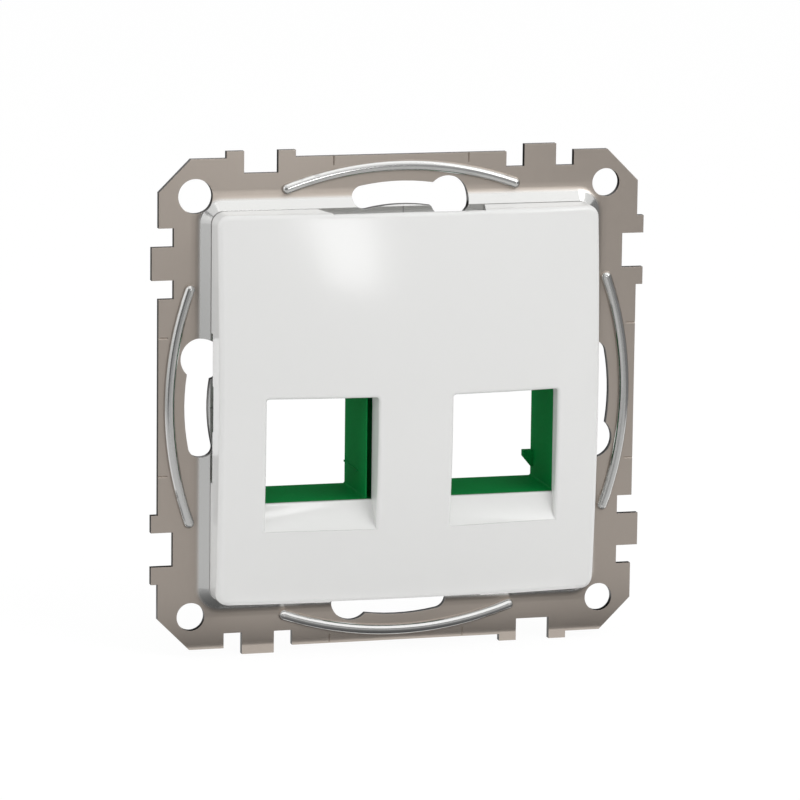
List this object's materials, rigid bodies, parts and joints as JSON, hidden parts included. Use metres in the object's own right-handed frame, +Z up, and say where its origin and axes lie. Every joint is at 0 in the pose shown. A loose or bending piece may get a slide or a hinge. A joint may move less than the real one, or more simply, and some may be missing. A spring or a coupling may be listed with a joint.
{
  "type": "wall plate",
  "caption": "Flush wall plate for snap-in data jacks: stepped steel support plate, domed white square cover with windows, and a green jack carrier behind them.",
  "frame": {"origin": "middle of the plate on the wall surface, which is the rear face of the steel sheet", "axes": "+X to the right seen from the front, +Z up the wall, +Y into the wall"},
  "size_m": [0.073, 0.016, 0.073],
  "materials": {
    "zinc_steel": "dull warm grey plated sheet",
    "white_plastic": "smooth, soft gloss",
    "green_plastic": "satin moulded"
  },
  "bodies": {
    "root": {"support_plate": "zinc_steel", "centre_plate": "white_plastic", "keystone_carrier": "green_plastic"}
  },
  "joints": []
}
